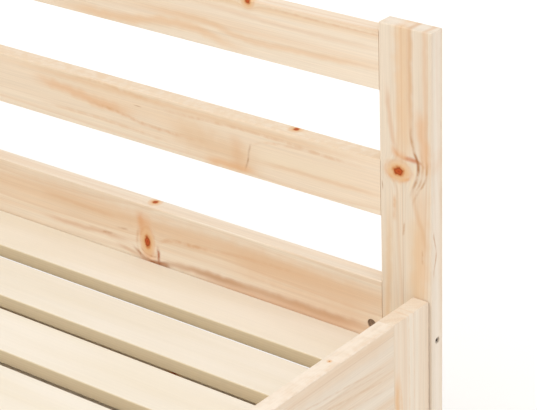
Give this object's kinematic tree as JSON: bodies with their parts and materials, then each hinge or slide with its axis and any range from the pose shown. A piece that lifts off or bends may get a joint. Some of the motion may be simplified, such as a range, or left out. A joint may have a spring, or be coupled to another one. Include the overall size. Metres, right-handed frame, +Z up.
{
  "type": "daybed with trundle",
  "caption": "Pine daybed with a railed back, low ends and a slatted deck, over a slatted trundle bed that rolls out to the front on fixed casters.",
  "frame": {"origin": "on the floor under the middle of the daybed's outside box", "axes": "+X along the bed to its right end, +Y towards its railed back, +Z up; the trundle rolls out along -Y"},
  "size_m": [2.055, 0.95, 0.73],
  "materials": {
    "pine": "planed and sanded, bare",
    "slat_wood": "sanded, bare",
    "dowel_beech": "fluted, bare",
    "zinc_steel": "zinc plated",
    "dark_steel": "passivated, dark",
    "wheel_plastic": "moulded"
  },
  "bodies": {
    "daybed": {"front_post_left": "pine", "front_post_right": "pine", "back_post_left": "pine", "back_post_right": "pine", "back_top_rail": "pine", "back_middle_rail": "pine", "back_bottom_rail": "pine", "front_rail": "pine", "left_front_stile": "pine", "left_back_stile": "pine", "right_front_stile": "pine", "right_back_stile": "pine", "left_end_panel": "pine", "right_end_panel": "pine", "back_ledger": "pine", "front_ledger": "pine", "bed_bearer_1": "pine", "bed_bearer_2": "pine", "bed_bearer_3": "pine", "bed_bearer_4": "pine", "bed_slat_1": "slat_wood", "bed_slat_2": "slat_wood", "bed_slat_3": "slat_wood", "bed_slat_4": "slat_wood", "bed_slat_5": "slat_wood", "bed_slat_6": "slat_wood", "bed_slat_7": "slat_wood", "bed_slat_8": "slat_wood", "bed_slat_9": "slat_wood", "frame_bolts": "zinc_steel", "barrel_nuts": "dark_steel", "frame_dowels": "dowel_beech", "bed_screws": "zinc_steel"},
    "trundle": {"trundle_front_board": "pine", "trundle_back_board": "pine", "trundle_left_board": "pine", "trundle_right_board": "pine", "trundle_bearer_1": "pine", "trundle_bearer_2": "pine", "trundle_bearer_3": "pine", "trundle_bearer_4": "pine", "trundle_slat_1": "slat_wood", "trundle_slat_2": "slat_wood", "trundle_slat_3": "slat_wood", "trundle_slat_4": "slat_wood", "trundle_slat_5": "slat_wood", "trundle_slat_6": "slat_wood", "trundle_slat_7": "slat_wood", "trundle_slat_8": "slat_wood", "trundle_dowels": "dowel_beech", "trundle_screws": "zinc_steel", "caster_brackets": "zinc_steel", "caster_axles": "zinc_steel", "caster_screws": "zinc_steel"},
    "wheel_front_left": {"wheel_front_left": "wheel_plastic"},
    "wheel_back_left": {"wheel_back_left": "wheel_plastic"},
    "wheel_front_right": {"wheel_front_right": "wheel_plastic"},
    "wheel_back_right": {"wheel_back_right": "wheel_plastic"}
  },
  "joints": [
    {"name": "trundle_roll", "type": "slide", "parent": "daybed", "child": "trundle", "axis": [0, -1, 0], "range_m": [0, 1]},
    {"name": "wheel_front_left_spin", "type": "hinge", "parent": "trundle", "child": "wheel_front_left", "pos_m": [-0.8945, -0.363, 0.025], "axis": [1, 0, 0], "continuous": true},
    {"name": "wheel_back_left_spin", "type": "hinge", "parent": "trundle", "child": "wheel_back_left", "pos_m": [-0.8945, 0.362, 0.025], "axis": [1, 0, 0], "continuous": true},
    {"name": "wheel_front_right_spin", "type": "hinge", "parent": "trundle", "child": "wheel_front_right", "pos_m": [0.8945, -0.363, 0.025], "axis": [1, 0, 0], "continuous": true},
    {"name": "wheel_back_right_spin", "type": "hinge", "parent": "trundle", "child": "wheel_back_right", "pos_m": [0.8945, 0.362, 0.025], "axis": [1, 0, 0], "continuous": true}
  ],
  "couplings": [
    {"joint": "wheel_front_left_spin", "follows": "trundle_roll", "rad_per_m": 40},
    {"joint": "wheel_back_left_spin", "follows": "trundle_roll", "rad_per_m": 40},
    {"joint": "wheel_front_right_spin", "follows": "trundle_roll", "rad_per_m": 40},
    {"joint": "wheel_back_right_spin", "follows": "trundle_roll", "rad_per_m": 40}
  ]
}
